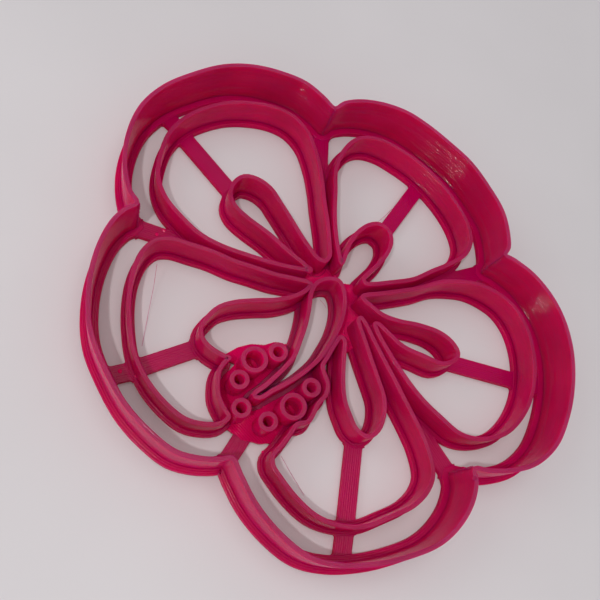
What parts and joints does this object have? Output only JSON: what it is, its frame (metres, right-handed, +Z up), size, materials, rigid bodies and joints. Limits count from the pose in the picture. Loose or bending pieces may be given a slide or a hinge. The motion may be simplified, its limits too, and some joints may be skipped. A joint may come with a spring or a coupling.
{
  "type": "flower cutter",
  "caption": "Hibiscus flower cutter for pastry: a lobed cutting wall with petal, vein, pistil and anther imprint walls joined by flat struts.",
  "frame": {"origin": "middle of the cutter's outline, on the face that rests on the table", "axes": "+X to the right, +Y away from the viewer, +Z up from the table towards the cutting edge"},
  "size_m": [0.1, 0.1022, 0.0118],
  "materials": {
    "cutting_wall": "layered print, satin gloss",
    "flange": "layered print, satin gloss",
    "petal_wall": "layered print, satin gloss",
    "petal_base": "layered print, satin gloss",
    "pistil": "layered print, satin gloss",
    "plate": "layered print, satin gloss",
    "anther": "layered print, satin gloss",
    "strut": "layered print, satin gloss"
  },
  "bodies": {
    "root": {"cutting_wall_left": "cutting_wall", "cutting_wall_upper_left": "cutting_wall", "cutting_wall_upper_right": "cutting_wall", "cutting_wall_right": "cutting_wall", "cutting_wall_bottom": "cutting_wall", "flange_left": "flange", "flange_upper_left": "flange", "flange_upper_right": "flange", "flange_right": "flange", "flange_bottom": "flange", "petal_wall_left": "petal_wall", "petal_wall_upper_left": "petal_wall", "petal_wall_upper_right": "petal_wall", "petal_wall_right": "petal_wall", "petal_wall_bottom": "petal_wall", "petal_base_left": "petal_base", "petal_base_upper_left": "petal_base", "petal_base_upper_right": "petal_base", "petal_base_right": "petal_base", "petal_base_bottom": "petal_base", "pistil_wall": "pistil", "pistil_base": "pistil", "centre_plate": "plate", "anther_plate": "plate", "large_anther_upper": "anther", "large_anther_lower": "anther", "small_anther_1": "anther", "small_anther_2": "anther", "small_anther_3": "anther", "small_anther_4": "anther", "small_anther_5": "anther", "inner_strut_left": "strut", "inner_strut_upper_left": "strut", "inner_strut_upper_right": "strut", "inner_strut_right": "strut", "inner_strut_bottom": "strut", "outer_strut_left": "strut", "outer_strut_upper_left": "strut", "outer_strut_upper_right": "strut", "outer_strut_right": "strut", "outer_strut_bottom": "strut", "notch_strut_left": "strut", "notch_strut_top": "strut", "notch_strut_right": "strut", "notch_strut_lower_right": "strut", "notch_strut_lower_left": "strut"}
  },
  "joints": []
}
